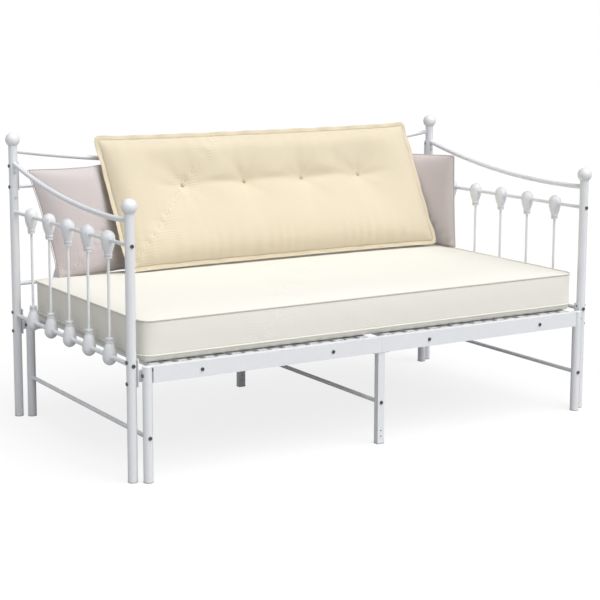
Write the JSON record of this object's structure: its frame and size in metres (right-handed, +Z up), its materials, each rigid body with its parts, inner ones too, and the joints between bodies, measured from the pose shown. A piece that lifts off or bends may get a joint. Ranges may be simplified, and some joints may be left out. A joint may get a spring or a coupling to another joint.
{
  "type": "pull-out daybed",
  "caption": "White steel daybed with sagging rails, cast spindle knuckles and ball finials; a slatted frame on its own legs pulls out to the front.",
  "frame": {"origin": "on the floor under the middle of the footprint", "axes": "+X along the bed towards the right arm as seen from the front, +Y to the back, +Z up"},
  "size_m": [2.1079, 1.1396, 1.155],
  "materials": {
    "frame_paint": "white powder coat, satin",
    "black_hardware": "blackened steel",
    "plain_steel": "zinc plated",
    "foot_plastic": "moulded plastic, pale grey",
    "bumper_rubber": "matt rubber",
    "mattress_cover": "ivory knitted cotton cover with piped seams",
    "cushion_linen": "beige linen weave",
    "pillow_linen": "mauve grey linen weave"
  },
  "bodies": {
    "bed_frame": {"arm_rail_inserts": "plain_steel", "back_cushion": "cushion_linen", "back_cushion_buttons": "cushion_linen", "back_end_plates": "frame_paint", "back_lower_castings": "frame_paint", "back_lower_rail": "frame_paint", "back_middle_rail": "frame_paint", "back_spindles": "frame_paint", "back_top_rail": "frame_paint", "back_upper_castings": "frame_paint", "finials": "frame_paint", "left_arm_lower_castings": "frame_paint", "left_arm_lower_rail": "frame_paint", "left_arm_middle_rail": "frame_paint", "left_arm_spindles": "frame_paint", "left_arm_top_rail": "frame_paint", "left_arm_upper_castings": "frame_paint", "main_bolts": "black_hardware", "main_feet": "foot_plastic", "main_front_rail": "frame_paint", "main_rear_rail": "frame_paint", "main_slats": "frame_paint", "mattress": "mattress_cover", "pillow_left": "pillow_linen", "pillow_right": "pillow_linen", "post_front_left": "frame_paint", "post_front_right": "frame_paint", "post_hole_plugs": "black_hardware", "post_rear_left": "frame_paint", "post_rear_right": "frame_paint", "rail_end_plates": "frame_paint", "right_arm_lower_castings": "frame_paint", "right_arm_lower_rail": "frame_paint", "right_arm_middle_rail": "frame_paint", "right_arm_spindles": "frame_paint", "right_arm_top_rail": "frame_paint", "right_arm_upper_castings": "frame_paint"},
    "pull_out_frame": {"pullout_bolts": "black_hardware", "pullout_crossbar": "frame_paint", "pullout_end_blocks": "plain_steel", "pullout_feet": "foot_plastic", "pullout_front_rail_left": "frame_paint", "pullout_front_rail_right": "frame_paint", "pullout_leg_caps": "foot_plastic", "pullout_leg_front_left": "frame_paint", "pullout_leg_front_right": "frame_paint", "pullout_leg_middle_front": "frame_paint", "pullout_leg_middle_rear": "frame_paint", "pullout_leg_rear_left": "frame_paint", "pullout_leg_rear_right": "frame_paint", "pullout_rail_joiner": "frame_paint", "pullout_rail_screws": "black_hardware", "pullout_slat_pads": "foot_plastic", "pullout_slat_shelf": "frame_paint", "pullout_slats": "frame_paint", "pullout_stop_bumpers": "bumper_rubber", "tie_rod_inserts": "plain_steel", "tie_rod_middle": "frame_paint", "tie_rods_side": "frame_paint"}
  },
  "joints": [
    {"name": "pull_out", "type": "slide", "parent": "bed_frame", "child": "pull_out_frame", "axis": [0, -1, 0], "range_m": [0, 1]}
  ]
}
